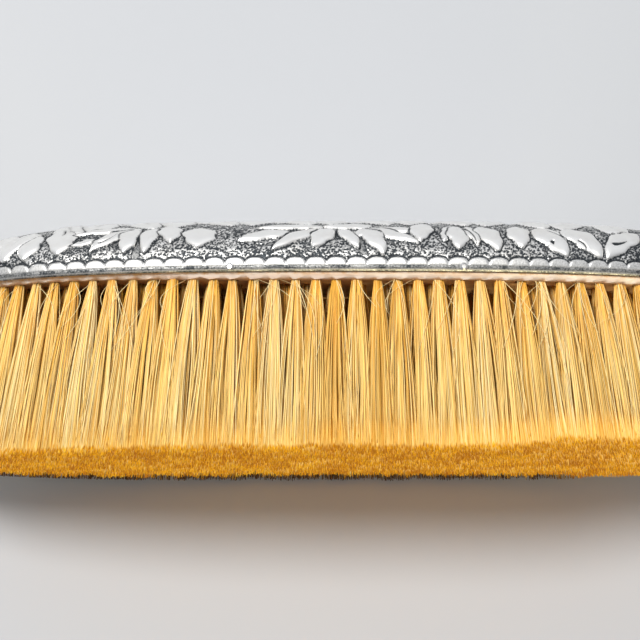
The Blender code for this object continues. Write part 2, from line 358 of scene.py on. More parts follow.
# Leaves of the near flank: base, tip, half width and bend, in millimetres along and up
FLANK_LEAVES = (
    ((-70.6, 14.6), (-72.4, 4.3), 3.3, 0.2),
    ((-62.8, 14.6), (-64.2, 5.2), 3.5, 0.0),
    ((-55.0, 9.4), (-61.2, 7.4), 0.9, 0.2),
    ((-45.0, 13.6), (-60.5, 11.6), 1.2, -0.9),
    ((-45.5, 12.4), (-56.8, 5.4), 1.9, -1.3),
    ((-45.6, 13.0), (-49.0, 4.9), 2.3, -0.6),
    ((-41.8, 13.6), (-44.4, 4.8), 2.0, -0.6),
    ((-38.8, 15.4), (-38.5, 7.9), 2.6, 0.0),
    ((-32.0, 13.4), (-32.8, 6.0), 3.7, 0.2),
    ((-5.0, 13.8), (-19.6, 13.6), 1.4, -0.5),
    ((-12.6, 11.0), (-23.8, 8.0), 1.8, -0.5),
    ((-5.6, 12.2), (-16.4, 5.1), 1.7, -0.6),
    ((-3.2, 12.4), (-7.4, 5.8), 2.3, -0.2),
    ((-1.6, 12.2), (2.9, 5.4), 1.7, 0.3),
    ((3.5, 12.0), (17.2, 11.4), 1.4, 0.6),
    ((2.6, 11.4), (15.9, 7.0), 1.7, 1.0),
    ((2.4, 11.6), (8.1, 3.7), 2.2, 1.2),
    ((5.6, 14.6), (-5.4, 14.4), 1.7, 0.0),
    ((16.8, 16.2), (16.0, 7.8), 2.6, 0.0),
    ((22.8, 14.2), (21.2, 7.6), 1.8, 0.3),
    ((24.0, 14.0), (24.5, 5.3), 2.5, 0.3),
    ((26.2, 13.8), (28.8, 6.8), 1.5, 0.3),
    ((28.8, 13.8), (33.3, 5.0), 2.4, 0.6),
    ((37.0, 14.6), (38.6, 6.0), 2.6, 0.0),
    ((41.4, 13.6), (48.4, 4.0), 3.1, 0.6),
    ((47.6, 13.4), (56.2, 3.9), 2.9, 0.9),
    ((65.0, 12.8), (57.4, 3.9), 3.1, -0.8),
    ((70.4, 14.2), (71.6, 4.5), 3.4, 0.0),
)

# Cuts in those leaves: broad end, fine end, half width and bend
FLANK_SLOTS = (
    ((-71.4, 14.0), (-71.9, 11.4), 0.30, 0.2),
    ((-62.6, 14.2), (-63.0, 11.6), 0.35, 0.1),
    ((-51.0, 6.6), (-50.0, 8.8), 0.60, 0.5),
    ((-54.4, 8.0), (-50.4, 11.6), 0.30, -0.5),
    ((-46.3, 4.6), (-45.6, 10.4), 0.95, -0.2),
    ((-16.6, 7.2), (-19.6, 7.0), 0.55, 0.5),
    ((9.0, 7.9), (10.6, 6.2), 0.60, 0.4),
    ((3.6, 5.0), (3.2, 9.2), 0.95, 0.1),
    ((22.4, 6.6), (21.6, 9.8), 0.50, -0.3),
    ((25.0, 13.2), (28.4, 6.2), 0.34, 0.8),
    ((43.6, 4.6), (44.2, 7.2), 0.40, 0.1),
    ((45.1, 7.8), (45.3, 7.0), 0.55, 0.0),
    ((44.6, 12.2), (48.6, 7.8), 0.38, 0.3),
    ((51.2, 8.4), (53.0, 5.0), 0.34, 0.4),
    ((59.2, 7.8), (62.2, 9.0), 0.60, -0.3),
)


def draw_flank(chart):
    for base, tip, half, bend in FLANK_LEAVES:
        chart.leaf(base, tip, half, bend, veins=0, lobes=LOBES)
    for start, end, half, bend in FLANK_SLOTS:
        chart.slot(start, end, half, bend)


def draw_end(chart):
    """A fan of leaves round one end, from its middle to where the flank's leaves stop."""
    for side in (-1, 1):
        for step, half in ((22.0, 3.1), (15.0, 3.3), (7.6, 3.2)):
            chart.leaf((side * step * 0.80, 14.2), (side * step, 4.4), half, veins=1)
    chart.leaf((0, 14.8), (0, 4.0), 3.6, veins=2)


def draw_crest(chart):
    """Rosettes along the crest, with leaves between them that point down both flanks."""
    for side in (-1, 1):
        for i in range(-6, 7):
            x = i * 9.2 + 4.0 * side
            chart.leaf((x, side * 1.0), (x + 2.0 * side, side * 12.4), 4.0, -0.7, veins=2)
        for i in range(-7, 8):
            x = i * 8.6 + 1.5 * side
            lean = 2.2 * (1 if i % 2 else -1)
            chart.leaf((x, side * 9.6), (x + lean, side * 19.4), 3.9, 0.6 * side, veins=1)
    for x, reach, turn in ((-52.0, 8.6, 0.5), (52.0, 8.6, 0.0)):
        chart.rosette((x, 0), 7, reach, 2.9, turn)
    for side in (-1, 1):
        chart.leaf((side * 58.0, 0), (side * 70.5, 0), 3.4, veins=2)
    for x, turn in ((-27.0, 0.2), (27.0, 0.6)):
        chart.rosette((x, 0), 8, 11.2, 3.2, turn)
    for x in (-40.0, 40.0, -14.5, 14.5):
        chart.leaf((x - 3.0, 0), (x + 3.0, 0), 1.9, veins=0)
    chart.rosette((0, 0), 10, 13.4, 3.3, 0.15, heart=2.2)


def draw_rim(relief, around, v):
    """The plain band at the lip and the scallops over it; around counts in scallops."""
    height, tarnish = relief.height, relief.tarnish
    around, v = around.ravel(), v.ravel()
    rim = np.flatnonzero(v < RIM_TOP)
    across = np.abs(around[rim] % 1.0 - 0.5) * 2
    arch = CUSP + SCALLOP_RISE * np.sqrt(np.clip(1 - across**2.2, 0, 1))
    level = v[rim]
    lobe = smooth((arch - level) / 0.25)
    inner = np.clip(arch - level, 0, 1)
    round_top = np.sqrt(1 - (1 - inner) ** 2)
    bulge = LEAF_RISE * 0.80 * round_top * np.sqrt(np.clip(1 - across**4, 0, 1))
    line = smooth((level - arch) / 0.12 + 0.6) * smooth((arch + 0.62 - level) / 0.3)
    second = smooth((level - arch - 0.85) / 0.15) * smooth((arch + 1.2 - level) / 0.2)
    band = smooth((BAND_TOP - level) / 0.4)
    groove = smooth(1 - np.abs(level - GROOVE) / 0.30)
    height[rim] = np.where(level < arch, bulge, height[rim])
    height[rim] = height[rim] * (1 - band) + LEAF_RISE * 0.62 * band
    height[rim] -= MM * (0.22 * line + 0.10 * groove)
    plain = 1 - np.maximum(lobe, band)
    tarnish[rim] *= plain
    relief.punched[rim] *= plain * (1 - line)
    worn = value_noise(relief.points[rim], 1.9, 17)
    # Partly painted shade: the band below the scallops is grey, partly tarnish and partly shade, and
    # the scallops get a little painted shade too.
    shade = np.maximum(smooth((1.95 - level) / 0.5) * (0.61 + 0.24 * worn), 0.44 * lobe)
    # Painted highlight: a lighter line runs along the band near the lip.
    shade *= 1 - 0.40 * smooth(1 - np.abs(level - 0.62) / 0.25)
    # Painted shadow: the silver is dark just under its lip.
    shade = np.maximum(shade, smooth((0.20 - level) / 0.12))
    tarnish[rim] = np.maximum.reduce([tarnish[rim], line, 0.50 * second, 0.60 * groove, shade])


def silver_grid():
    """The silver's outer face: points, their distances round it and up it, and a quarter's count."""
    width, height, run = section()
    rows = int(run[-1] / SILVER_STEP)
    last = np.interp(-RIDGE_HALF, -width[LIP_STEPS:], run[LIP_STEPS:])
    v = np.linspace(0, last, rows)
    w, z = np.interp(v, run, width), np.interp(v, run, height)
    length = level_length(w, z)
    _, quarter = quarter_turns(1)
    count = int(quarter / SILVER_STEP)
    turns, _ = quarter_turns(count)
    ux, uy = oval_unit(turns)
    x, y = length[:, None] * ux, w[:, None] * uy
    steps = np.hypot(np.diff(x, axis=1), np.diff(y, axis=1))
    arc = np.concatenate([np.zeros((rows, 1)), np.cumsum(steps, axis=1)], axis=1)

    def around(values, sign_x, sign_y):
        """A quarter's values spread over four quarters, from the near flank's middle."""
        ahead, back = values[:, :-1], values[:, :0:-1]
        parts = (ahead, sign_y * back, sign_x * sign_y * ahead, sign_x * back)
        return np.concatenate(parts, axis=1)

    px, py = around(x, -1, 1), -around(y, 1, -1)
    points = np.stack([px, py, np.broadcast_to(z[:, None], px.shape)], axis=-1)
    quarters = around(np.broadcast_to(arc[:, -1:], arc.shape), 1, 1)
    return points, around(arc, -1, 1), quarters, v, count


def outward(points):
    """Unit normals of the grid, straight up along the ridge."""
    across = np.roll(points, -1, axis=1) - np.roll(points, 1, axis=1)
    up = np.gradient(points, axis=0)
    normal = np.cross(across, up)
    size = np.linalg.norm(normal, axis=-1, keepdims=True)
    normal = normal / np.maximum(size, 1e-15)
    flat = np.abs(points[-1, :, 1]).max()
    share = smooth((np.abs(points[:, :, 1]).max(axis=1) - flat) / (1.2 * MM))[:, None, None]
    normal = normal * share + np.array([0, 0, 1.0]) * (1 - share)
    return normal / np.linalg.norm(normal, axis=-1, keepdims=True)


def silver_back():
    points, arc, quarter, run, count = silver_grid()
    rows, columns = points.shape[:2]
    relief = Relief(points)
    v = np.broadcast_to(run[:, None], arc.shape) * 1000
    level, ends = arc * 1000, (quarter - np.abs(arc)) * 1000
    y = points[:, :, 1]
    relief.ground(np.flatnonzero((v > 1.2).ravel()))
    relief.height += UNEVEN * (value_noise(relief.points, UNEVEN_SIZE, 5) - 0.5)
    draw_crest(Chart(relief, points[:, :, 0] * 1000, y * 1000, v > 13.0))
    draw_flank(Chart(relief, level, v, (y < 0) & (v < 18)))
    draw_flank(Chart(relief, -level, v, (y > 0) & (v < 18)))
    for side in (-1, 1):
        here = (points[:, :, 0] * side > 0) & (v < 18)
        draw_end(Chart(relief, np.sign(y) * ends, v, here))
    scallops = round(4000 * quarter[0, 0] / SCALLOP_PITCH)
    turn = np.linspace(0, scallops, columns, endpoint=False)
    draw_rim(relief, np.broadcast_to(turn, v.shape), v)

    height = relief.height.reshape(rows, columns) - LEAF_RISE + LEAF_TOP
    low = 3.2 * MM
    held = smooth((run[:, None] - low) / (2.0 * MM))
    height = np.minimum(height, LEAF_TOP * held)
    height *= smooth(run[:, None] / (0.5 * MM))
    outer = (points + outward(points) * height[:, :, None]).reshape(-1, 3)
    tone = np.zeros((rows * columns, 3))
    tone[:, 0] = np.clip(relief.tarnish, 0, 1)
    tone[:, 2] = relief.punched

    inner = inner_face(columns, count)
    vertices = np.concatenate([outer, inner.reshape(-1, 3)])
    tones = np.concatenate([tone, np.tile([0.7, 0.0, 0.0], (len(vertices) - len(outer), 1))])
    quads = [grid_faces(rows, columns, 0), grid_faces(len(inner), columns, len(outer), flip=True)]
    lip = np.arange(columns)
    after = (lip + 1) % columns
    quads.append(np.stack([len(outer) + lip, len(outer) + after, after, lip], axis=-1))
    ridge_quads, ridge_triangles = ridge_faces(count, (rows - 1) * columns, False)
    inner_quads, inner_triangles = ridge_faces(
        count, len(outer) + (len(inner) - 1) * columns, True
    )
    quads += [ridge_quads, inner_quads]
    triangles = np.concatenate([ridge_triangles, inner_triangles])
    made = new_mesh("silver_repousse_back", vertices, np.concatenate(quads), triangles, tones)
    made.data.materials.append(silver_material())
    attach(made, "root")
    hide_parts("silver_back")


def inner_face(columns, count):
    """The shell's plain inside, a sheet's thickness in from the face."""
    turns, _ = quarter_turns(count)
    ux, uy = oval_unit(turns)
    unit_x = np.concatenate([ux[:-1], ux[:0:-1], -ux[:-1], -ux[:0:-1]])
    unit_y = np.concatenate([-uy[:-1], uy[:0:-1], uy[:-1], -uy[:0:-1]])
    width, rise = HALF_WIDTH - SHEET, CREST - BULGE - SHEET
    last = math.acos((RIDGE_HALF / width) ** (DOME_POWER / 2))
    rings = [(width, LIP), (width, BULGE)]
    for turn in np.linspace(0, last, INNER_ROWS)[1:]:
        rings.append((
            width * math.cos(turn) ** (2 / DOME_POWER),
            BULGE + rise * math.sin(turn) ** (2 / DOME_POWER),
        ))
    inner = np.zeros((len(rings), columns, 3))
    for row, (half, z) in enumerate(rings):
        inner[row, :, 0] = level_length(np.array(half), np.array(z)) * unit_x
        inner[row, :, 1] = half * unit_y
        inner[row, :, 2] = z
    return inner


def grid_faces(rows, columns, first, flip=False):
    """Quads over a grid that closes on itself along its columns."""
    row, column = np.meshgrid(np.arange(rows - 1), np.arange(columns), indexing="ij")
    after = (column + 1) % columns
    a, b = first + row * columns + column, first + row * columns + after
    corners = (a, b, b + columns, a + columns)
    return np.stack(corners[::-1] if flip else corners, axis=-1).reshape(-1, 4)


def ridge_faces(count, first, flip):
    """The narrow strip along the ridge, between each column and the one across from it."""
    column = np.concatenate([np.arange(3 * count, 4 * count), np.arange(0, count)])
    after = (column + 1) % (4 * count)
    other, other_after = (2 * count - column) % (4 * count), (2 * count - after) % (4 * count)
    faces = np.stack([column, after, other_after, other], axis=-1) + first
    if flip:
        faces = faces[:, ::-1]
    whole = (column != other) & (after != other_after)
    first_end = faces[column == other][:, [1, 2, 3] if flip else [0, 1, 2]]
    last_end = faces[after == other_after][:, [0, 1, 3]]
    return faces[whole], np.concatenate([first_end, last_end])


# ---- bristles


def ring_axes(ring, z):
    """The half length and half width of a ring's centre line at height z, as in the CAD."""
    inset = RING_INSET + ring * RING_STEP
    share = 1 - z / STOCK_BOTTOM
    along, across = 1 + (SPLAY_LENGTH - 1) * share, 1 + (SPLAY_WIDTH - 1) * share
    return (HALF_LENGTH - STOCK_INSET - inset) * along, (HALF_WIDTH - inset) * across


class Row:
    """One row's tufts: where each leaves the stock, where it ends, and which way is out."""

    def __init__(self, ring):
        if ring is None:
            pitch = 2 * MIDDLE_HALF_LENGTH / MIDDLE_TUFTS
            x = (np.arange(MIDDLE_TUFTS) + 0.5) * pitch - MIDDLE_HALF_LENGTH
            self.root = np.stack([x, 0 * x], axis=-1)
            self.tip = self.root * [SPLAY_LENGTH, 1.0]
            self.out = np.tile([0.0, -1.0], (MIDDLE_TUFTS, 1))
        else:
            count = RING_TUFTS[ring]
            turns = self.even_turns(ring, count)
            unit = np.stack(oval_unit(turns), axis=-1)
            self.root = unit * ring_axes(ring, STOCK_BOTTOM)
            self.tip = unit * ring_axes(ring, 0.0)
            ahead = np.stack(oval_unit(turns + 0.01), axis=-1) * ring_axes(ring, 0.0)
            behind = np.stack(oval_unit(turns - 0.01), axis=-1) * ring_axes(ring, 0.0)
            run = ahead - behind
            run /= np.linalg.norm(run, axis=1, keepdims=True)
            self.out = np.stack([run[:, 1], -run[:, 0]], axis=-1)
        self.along = np.stack([-self.out[:, 1], self.out[:, 0]], axis=-1)
        self.pitch = np.linalg.norm(self.tip[1] - self.tip[0])

    @staticmethod
    def even_turns(ring, count):
        turns = np.linspace(0, TURN, 7201)
        return arc_turns(turns, *ring_axes(ring, STOCK_BOTTOM), np.arange(count) / count)[0]

    def paths(self, tuft, share, along, out, z):
        """Paths a share of the way from each tuft's root to its tip, moved along and out."""
        flat = [
            self.root[tuft, axis][:, None] * (1 - share) + self.tip[tuft, axis][:, None] * share
            + self.along[tuft, axis][:, None] * along + self.out[tuft, axis][:, None] * out
            for axis in (0, 1)
        ]
        return np.stack([*flat, z], axis=-1)


# A tuft at its root, and how far its strands spread at their tips
ROOT_RADIUS, ROOT_DEPTH = 1.02 * MM, 1.2 * MM
INNER_LOOSE = 1.7
SPREAD_ALONG, SPREAD_ACROSS = 0.66, 3.35 * MM
OUTER_LIMIT, FLOOR_CLEARANCE = 2.15 * MM, 1.3 * MM
CLUMPS, CLUMPING = 9, 0.34

# Its strands
STRANDS = 135
STRAND_SIDES, STRAND_RADIUS = 3, 0.105 * MM
WAVE = 0.30 * MM

# Wear of the tips: what is cut back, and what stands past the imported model's tips
WORN_BACK, PROUD = 1.9 * MM, 1.0 * MM
FAR_PROUD, FAR_CORNERS_PROUD = 0.4 * MM, 0.8 * MM
UNEVEN_CLUMPS, UNEVEN_TIPS = 0.8 * MM, 0.30 * MM
BROKEN_SHARE, BROKEN_LENGTH = 0.05, 2.5 * MM
HANGING = 0.9 * MM
LONGEST = 1.55 * MM


def strand_mesh(name, paths, radii, tone):
    """Closed thin tubes along paths of equal count.

    tone holds the share along each strand, its tint, and how much painted shade darkens its tip.
    """
    count, steps = paths.shape[:2]
    spin = hashed(np.arange(count), np.arange(count), np.zeros(count, int), 7) * TURN
    side = spin[:, None] + np.arange(STRAND_SIDES) * TURN / STRAND_SIDES
    ring = np.stack([np.cos(side), np.sin(side), np.zeros_like(side)], axis=-1)
    points = paths[:, :, None, :] + ring[:, None, :, :] * radii[:, :, None, None]
    index = np.arange(count * steps * STRAND_SIDES).reshape(count, steps, STRAND_SIDES)
    quads = []
    for i in range(STRAND_SIDES):
        j = (i + 1) % STRAND_SIDES
        a, b = index[:, :-1, i], index[:, :-1, j]
        c, d = index[:, 1:, j], index[:, 1:, i]
        quads.append(np.stack([b, a, d, c], axis=-1).reshape(-1, 4))
    caps = np.concatenate([index[:, 0], index[:, -1, ::-1]])
    tones = np.repeat(tone[:, :, None, :], STRAND_SIDES, axis=2).reshape(-1, 3)
    return new_mesh(name, points.reshape(-1, 3), np.concatenate(quads), caps, tones)


def tip_wear(spots):
    """How far the trimmed face is worn back, which is least on its far side and at the left."""
    near = smooth((HALF_WIDTH * 0.3 - spots[:, 1]) / (1.2 * HALF_WIDTH))
    x = spots[:, 0]
    near_wear = WORN_BACK * smooth((x - 0.034) / 0.014) - PROUD
    far_wear = -FAR_PROUD - FAR_CORNERS_PROUD * smooth((np.abs(x - 0.004) - 0.020) / 0.050)
    return near * near_wear + (1 - near) * far_wear


def tuft_strands(row, outer, steps, rng):
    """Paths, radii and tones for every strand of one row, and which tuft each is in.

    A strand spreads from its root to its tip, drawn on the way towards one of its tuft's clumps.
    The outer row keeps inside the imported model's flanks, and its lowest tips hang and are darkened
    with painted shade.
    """
    tufts = len(row.root)
    count = tufts * STRANDS
    tuft = np.repeat(np.arange(tufts), STRANDS)
    disc = np.sqrt(rng.random(count)), rng.random(count) * TURN
    unit = np.stack([disc[0] * np.cos(disc[1]), disc[0] * np.sin(disc[1])], axis=-1)
    jitter = (rng.random((count, 2)) * 2 - 1) * 0.45
    square = np.clip(unit + jitter, -1.15, 1.15)
    deep = unit[:, 1]
    even = (deep * np.sqrt(1 - deep**2) + np.arcsin(deep)) * 2 / math.pi
    clump = rng.random((tufts, CLUMPS, 2)) * 2 - 1
    near = ((square[:, None, :] - clump[tuft]) ** 2).sum(axis=2).argmin(axis=1)
    pull = clump[tuft, near]
    along_tip = square[:, 0] * SPREAD_ALONG * row.pitch
    across_tip = (even + 0.35 * jitter[:, 1]) * SPREAD_ACROSS
    if outer:
        limit = np.where(row.out[tuft, 1] > 0.8, OUTER_LIMIT - FLOOR_CLEARANCE, OUTER_LIMIT)
        across_tip = np.minimum(across_tip, limit - 0.25 * MM * rng.random(count))
    lean = rng.normal(0, 0.22, tufts)[tuft] * MM
    pinch = (0.70 + 0.32 * rng.random(tufts))[tuft] * (1.0 if outer else INNER_LOOSE)
    nudge = rng.normal(0, 0.16, (2, tufts))[:, tuft] * MM
    share = np.linspace(0, 1, steps) ** 1.15
    spread = 1 - (1 - share) ** 2.3
    short = np.abs(rng.normal(0, UNEVEN_TIPS, count))
    broken = rng.random(count) < BROKEN_SHARE
    short += np.where(broken, rng.random(count) * BROKEN_LENGTH, 0)
    if outer:
        short += 0.5 * MM * np.clip(across_tip / OUTER_LIMIT, 0, 1) ** 3
    clump_short = UNEVEN_CLUMPS * (rng.random((tufts, CLUMPS)) - 0.5)
    short += tip_wear(row.tip[tuft]) + clump_short[tuft, near]
    lowest = np.zeros(count)
    if outer:
        lowest = smooth((across_tip - limit + 1.5 * MM) / (0.8 * MM))
        lowest *= smooth((row.out[tuft, 1] - 0.12) / 0.2)
        lowest *= 1 - smooth((row.tip[tuft, 0] - 0.048) / 0.010)
    short -= HANGING * lowest * (0.35 + 0.65 * rng.random(count))
    short = np.maximum(short, -LONGEST + 0.25 * MM * rng.random(count))
    top = WORN_BOTTOM + ROOT_DEPTH
    z = top + (short[:, None] - top) * share
    wave_a, wave_b = rng.random((2, count)) * TURN
    swing = rng.random((2, count)) * WAVE
    bend = np.sin(math.pi * share)[None, :]
    mid = CLUMPING * bend
    root_along = unit[:, 0] * ROOT_RADIUS * pinch + nudge[0]
    root_across = unit[:, 1] * ROOT_RADIUS * pinch + nudge[1]
    offset_along = root_along[:, None] * (1 - spread) + along_tip[:, None] * spread
    offset_across = root_across[:, None] * (1 - spread) + across_tip[:, None] * spread
    pull_along = (pull[:, 0] * SPREAD_ALONG * row.pitch)[:, None] * spread
    offset_along = offset_along * (1 - mid) + pull_along * mid
    offset_along += (swing[0] * np.sin(wave_a))[:, None] * bend
    offset_along += (swing[0] * np.cos(wave_b))[:, None] * np.sin(TURN * share)[None, :] * 0.6
    offset_along += lean[:, None] * share
    offset_across += (swing[1] * np.cos(wave_a))[:, None] * bend
    if outer:
        offset_across = np.minimum(offset_across, limit[:, None])
    paths = row.paths(tuft, share, offset_along, offset_across, z)
    thick = STRAND_RADIUS * (0.75 + 0.5 * rng.random(count))
    radii = thick[:, None] * (1 - 0.30 * share**2)[None, :]
    tint = np.clip(0.5 + rng.normal(0, 0.22, count) + rng.normal(0, 0.10, tufts)[tuft], 0, 1)
    # The tone's third part marks the lowest tips for painted shade.
    tone = np.stack(np.broadcast_arrays(share, tint[:, None], lowest[:, None]), axis=-1)
    return paths, radii, tone, tuft


def bristle_rows(hair):
    """Every row's strands, in a few objects a row, so that no object is too heavy."""
    rng = np.random.default_rng(41)
    rings = list(range(len(RING_TUFTS))) + [None]
    for number, ring in enumerate(rings, start=1):
        row = Row(ring)
        steps = 7 if number == 1 else 5
        paths, radii, tone, tuft = tuft_strands(row, number == 1, steps, rng)
        parts = {1: 3, 2: 2, 3: 2, 4: 2}.get(number, 1)
        share = len(row.root) / parts
        for part in range(parts):
            pick = (tuft // share).astype(int) == part
            name = f"bristle_tufts_{number}" + (f"_{part + 1}" if parts > 1 else "")
            made = strand_mesh(name, paths[pick], radii[pick], tone[pick])
            made.data.materials.append(hair)
            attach(made, "root")
            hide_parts(f"bristle_row_{number}")


STRAYS, STRAY_RADIUS = 170, 0.09 * MM


def stray_hairs(hair):
    """Loose hairs that cross in front of the outer tufts, near where they leave the stock."""
    rng = np.random.default_rng(8)
    row = Row(0)
    count, steps = STRAYS, 12
    tuft = rng.integers(0, len(row.root), count)
    share = np.linspace(0, 1, steps)
    drift = rng.normal(0, 4.6, count) * MM
    fall = (4 + 16 * rng.random(count)) * MM
    lift = (0.8 + 1.0 * rng.random(count)) * MM
    curl = rng.normal(0, 1.6, count) * MM
    start = rng.normal(0, 0.5, count) * MM
    along = start[:, None] + drift[:, None] * share + curl[:, None] * np.sin(math.pi * share)
    out = 0.9 * MM + lift[:, None] * np.sin(math.pi * share * 0.7)
    z = WORN_BOTTOM + 0.4 * MM - fall[:, None] * share
    paths = row.paths(tuft, 1 - z / STOCK_BOTTOM, along, out, z)
    radii = np.full((count, steps), STRAY_RADIUS) * (1 - 0.4 * share)[None, :]
    tone = np.tile([0.45, 1.0, 0.0], (count, steps, 1))
    made = strand_mesh("stray_hairs", paths, radii, tone)
    made.data.materials.append(hair)
    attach(made, "root")


# ---- stock

HOLE_RADIUS, HOLE_DEPTH, HOLE_SIDES = 1.14 * MM, 2.0 * MM, 14
TUFT_STEPS = 8
STOCK_SIDES = TUFT_STEPS * RING_TUFTS[0]
CHIP = 1.0 * MM


def stock_bottom(x):
    """The height of the stock's underside, which sits a little crooked along the back."""
    return WORN_BOTTOM + CROOKED * smooth((-x - 0.010) / CROOKED_RUN)


def stock_ring(inset, above, rough, chip=0.0):
    """The stock's outline at a height above its underside, hand-cut and chipped at each tuft."""
    x, y = oval_unit(Row.even_turns(0, STOCK_SIDES))
    share = np.arange(STOCK_SIDES) % TUFT_STEPS / TUFT_STEPS
    chipped = chip * share**1.3 * (0.6 + 0.8 * value_noise(np.stack([x, y, 0 * x], -1), 0.02, 9))
    inset = inset - chipped
    ring = np.stack([x * (HALF_LENGTH - inset), y * (HALF_WIDTH - inset), 0 * x], axis=-1)
    uneven = value_noise(ring * 1000, 2.6, 3) - 0.5
    ring[:, :2] *= 1 + (uneven * rough / HALF_WIDTH)[:, None]
    ring[:, 2] = stock_bottom(ring[:, 0]) + above + uneven * rough * 0.6 + chipped
    return ring


def drilled_stock():
    """The stock: its underside cut round every hole, its rough side, its holes and its top."""
    rows = [Row(ring) for ring in range(len(RING_TUFTS))] + [Row(None)]
    centres = np.concatenate([row.root for row in rows])
    rim = stock_ring(STOCK_INSET + STOCK_CHAMFER, 0.0, 0.20 * MM, CHIP)
    turns = np.arange(HOLE_SIDES) * TURN / HOLE_SIDES
    hole = np.stack([np.cos(turns), np.sin(turns)], axis=-1) * HOLE_RADIUS
    loops = centres[:, None, :] + hole[None, :, :]
    flat = np.concatenate([rim[:, :2], loops.reshape(-1, 2)])
    edges = [(i, (i + 1) % STOCK_SIDES) for i in range(STOCK_SIDES)]
    for number in range(len(centres)):
        first = STOCK_SIDES + number * HOLE_SIDES
        edges += [(first + i, first + (i + 1) % HOLE_SIDES) for i in range(HOLE_SIDES)]
    found = delaunay_2d_cdt([Vector(p) for p in flat], edges, [], 1, 1e-7)
    faces = np.array([face for face in found[2] if len(face) == 3])
    loop = np.where(faces < STOCK_SIDES, -1 - faces, (faces - STOCK_SIDES) // HOLE_SIDES)
    in_hole = (loop[:, 0] == loop[:, 1]) & (loop[:, 1] == loop[:, 2])
    faces = faces[~in_hole]
    bottom = np.column_stack([flat, stock_bottom(flat[:, 0])])
    bottom[:STOCK_SIDES, 2] = rim[:, 2]
    a, b, c = (bottom[faces[:, i], :2] for i in range(3))
    turned = (b - a)[:, 0] * (c - a)[:, 1] - (b - a)[:, 1] * (c - a)[:, 0]
    faces[turned > 0] = faces[turned > 0][:, ::-1]

    upper = [
        stock_ring(STOCK_INSET, STOCK_CHAMFER, 0.12 * MM),
        stock_ring(STOCK_INSET, STOCK_TOP - WORN_BOTTOM, 0.0),
    ]
    upper[1][:, 2] = STOCK_TOP
    roofs = bottom[STOCK_SIDES:] + [0, 0, HOLE_DEPTH]
    top_centre = np.array([[0.0, 0.0, STOCK_TOP]])
    roof_centres = np.column_stack([centres, stock_bottom(centres[:, 0]) + HOLE_DEPTH])
    vertices = np.concatenate([bottom, *upper, roofs, top_centre, roof_centres])
    first_upper, first_roof = len(flat), len(flat) + 2 * STOCK_SIDES
    centre, first_middle = first_roof + len(roofs), first_roof + len(roofs) + 1
    i = np.arange(STOCK_SIDES)
    j = (i + 1) % STOCK_SIDES
    last = first_upper + STOCK_SIDES
    quads = [
        np.stack([i, j, first_upper + j, first_upper + i], axis=-1),
        np.stack([first_upper + i, first_upper + j, last + j, last + i], axis=-1),
    ]
    top = np.stack([last + i, last + j, np.full(STOCK_SIDES, centre)], axis=-1)
    triangles = [faces, top]
    k = np.arange(HOLE_SIDES)
    after = (k + 1) % HOLE_SIDES
    for number in range(len(centres)):
        low, high = STOCK_SIDES + number * HOLE_SIDES, first_roof + number * HOLE_SIDES
        quads.append(np.stack([low + after, low + k, high + k, high + after], axis=-1))
        middle = np.full(HOLE_SIDES, first_middle + number)
        triangles.append(np.stack([high + after, high + k, middle], axis=-1))
    # Painted shade: the underside round the holes and the holes' roofs are marked to be coloured
    # brown.
    underside_shade_mask = np.zeros((len(vertices), 3))
    underside_shade_mask[STOCK_SIDES:first_upper, 0] = 1.0
    underside_shade_mask[first_roof:, 0] = 1.0
    made = new_mesh(
        "drilled_stock", vertices, np.concatenate(quads), np.concatenate(triangles), underside_shade_mask
    )
    made.data.set_sharp_from_angle(angle=math.radians(32))
    made.data.materials.append(stock_material())
    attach(made, "root")
    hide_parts("bristle_stock")


# ---- materials


class Nodes:
    """A material's node tree, with a short way to add and link nodes."""

    def __init__(self, name):
        self.material = bpy.data.materials.new(name)
        self.material.use_nodes = True
        self.tree = self.material.node_tree
        self.shader = self.tree.nodes["Principled BSDF"]

    def add(self, kind, inputs=(), **settings):
        node = self.tree.nodes.new(kind)
        for key, value in settings.items():
            setattr(node, key, value)
        for socket, value in dict(inputs).items():
            if isinstance(value, bpy.types.NodeSocket):
                self.tree.links.new(value, node.inputs[socket])
            else:
                node.inputs[socket].default_value = value
        return node

    def link(self, source, socket):
        self.tree.links.new(source, self.shader.inputs[socket])

    def set(self, socket, value):
        self.shader.inputs[socket].default_value = value

    def mix(self, share, low, high):
        """A colour between two, each a socket or linear red, green and blue."""
        low, high = ((*c, 1.0) if isinstance(c, tuple) else c for c in (low, high))
        return self.add("ShaderNodeMix", {0: share, 6: low, 7: high}, data_type="RGBA").outputs[2]

    def maths(self, operation, first, second):
        return self.add("ShaderNodeMath", {0: first, 1: second}, operation=operation).outputs[0]

    def spread(self, value, low, high, to_low=0.0, to_high=1.0):
        inputs = {0: value, 1: low, 2: high, 3: to_low, 4: to_high}
        return self.add("ShaderNodeMapRange", inputs).outputs[0]

    def place(self, scale=(1, 1, 1)):
        where = self.add("ShaderNodeTexCoord").outputs["Object"]
        return self.add("ShaderNodeMapping", {"Vector": where, "Scale": scale}).outputs[0]

    def noise(self, scale, detail=3.0, roughness=0.55, stretch=(1, 1, 1)):
        inputs = {"Vector": self.place(stretch), "Scale": scale, "Detail": detail,
                  "Roughness": roughness}
        return self.add("ShaderNodeTexNoise", inputs).outputs["Fac"]

    def bump(self, height, distance, strength=1.0):
        inputs = {"Height": height, "Distance": distance, "Strength": strength}
        self.link(self.add("ShaderNodeBump", inputs).outputs["Normal"], "Normal")

    def tone(self):
        """The three parts of the mesh's own tone attribute."""
        read = self.add("ShaderNodeAttribute", attribute_name="tone")
        return self.add("ShaderNodeSeparateColor", {"Color": read.outputs["Color"]}).outputs


SILVER_BRIGHT = (0.88, 0.87, 0.85)
SILVER_WARM = (0.76, 0.73, 0.69)
SILVER_TARNISH_AND_SHADE = (0.040, 0.046, 0.052)


